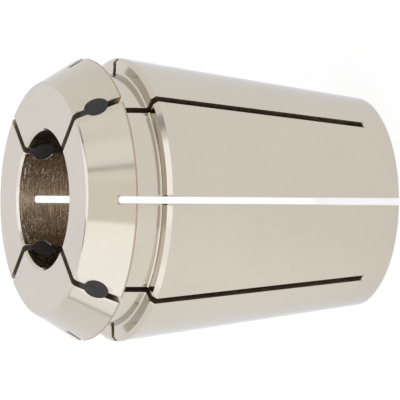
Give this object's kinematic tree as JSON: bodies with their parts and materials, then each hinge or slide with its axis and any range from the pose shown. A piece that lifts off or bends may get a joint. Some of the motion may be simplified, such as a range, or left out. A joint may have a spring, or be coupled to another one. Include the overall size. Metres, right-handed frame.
{
  "type": "er collet",
  "caption": "Spring collet slit from both ends, with a long clamping taper, a grooved head with a nose cone, a plain through bore and rubber seals across the nose slots.",
  "frame": {"origin": "centre of the back face, on the axis of the tool bore", "axes": "+Z along the tool bore, from the small back end towards the nose; +X and +Y through slots that open at the back face"},
  "size_m": [0.033, 0.033, 0.04],
  "materials": {
    "spring_steel": "hardened and fine ground, satin bright with a slightly warm tone",
    "seal_rubber": "moulded nitrile rubber, dark grey and matt"
  },
  "bodies": {
    "root": {"collet_body": "spring_steel", "seal_plug_1": "seal_rubber", "seal_plug_2": "seal_rubber", "seal_plug_3": "seal_rubber", "seal_plug_4": "seal_rubber"}
  },
  "joints": []
}
